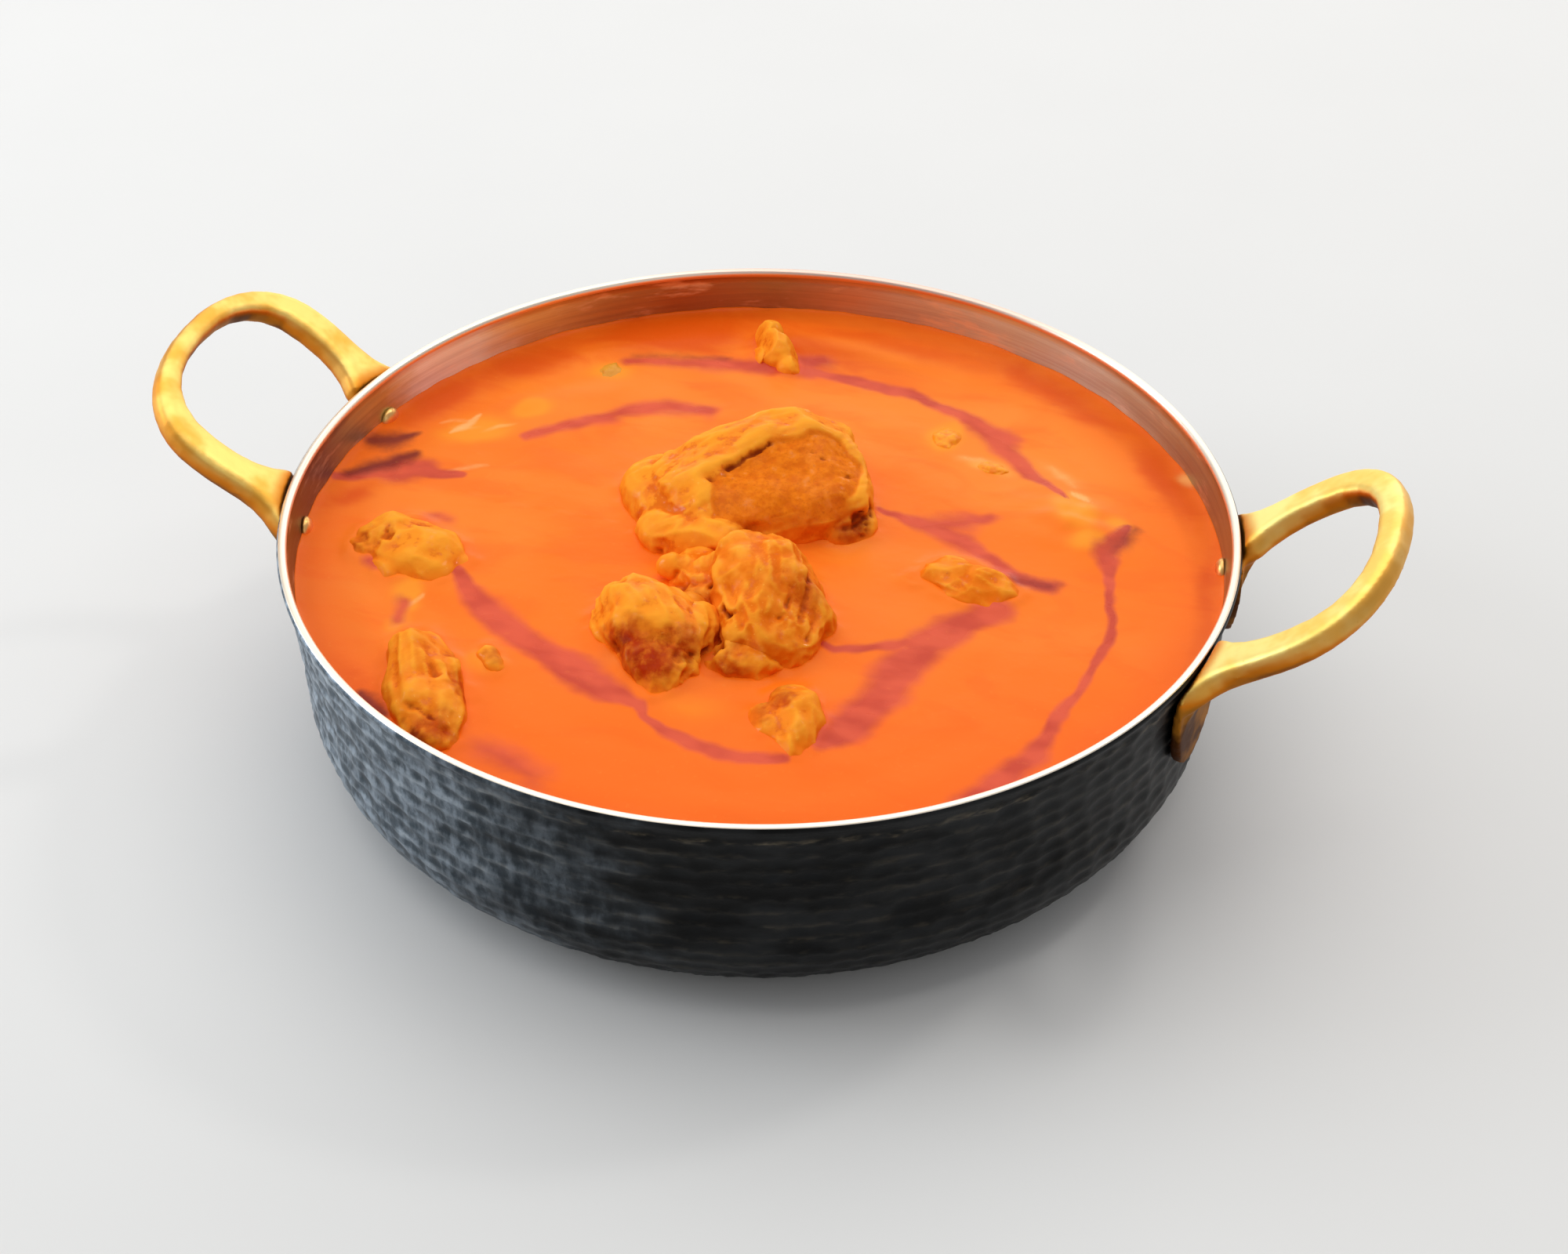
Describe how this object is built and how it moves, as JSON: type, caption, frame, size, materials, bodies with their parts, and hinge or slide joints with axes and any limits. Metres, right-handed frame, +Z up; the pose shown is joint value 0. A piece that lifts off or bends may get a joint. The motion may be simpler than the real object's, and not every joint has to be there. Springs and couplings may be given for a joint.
{
  "type": "lamb curry in serving pan",
  "caption": "Round hammered metal serving pan with two raised loop handles, filled with a smooth orange curry that has chunks of lamb standing out of it.",
  "frame": {"origin": "middle of the pan's flat base, on the surface it stands on", "axes": "+Z up, +X through the middle of the right handle, +Y away from the front of the dish"},
  "size_m": [0.2175, 0.1648, 0.0635],
  "materials": {
    "pan_steel": "blackened and hammered outside, brushed inside, polished rim",
    "handle_brass": "cast and softly polished",
    "rivet_brass": "polished",
    "curry_sauce": "wet and glossy",
    "lamb_meat": "moist, fibrous"
  },
  "bodies": {
    "root": {"pan": "pan_steel", "handle_right": "handle_brass", "handle_left": "handle_brass", "rivet_1": "rivet_brass", "rivet_2": "rivet_brass", "rivet_3": "rivet_brass", "rivet_4": "rivet_brass", "curry": "curry_sauce", "lamb_large": "lamb_meat", "lamb_middle": "lamb_meat", "lamb_front": "lamb_meat", "lamb_left": "lamb_meat", "lamb_near_rim": "lamb_meat", "lamb_sliver": "lamb_meat", "lamb_right": "lamb_meat", "lamb_bottom": "lamb_meat", "lamb_back": "lamb_meat"}
  },
  "joints": []
}
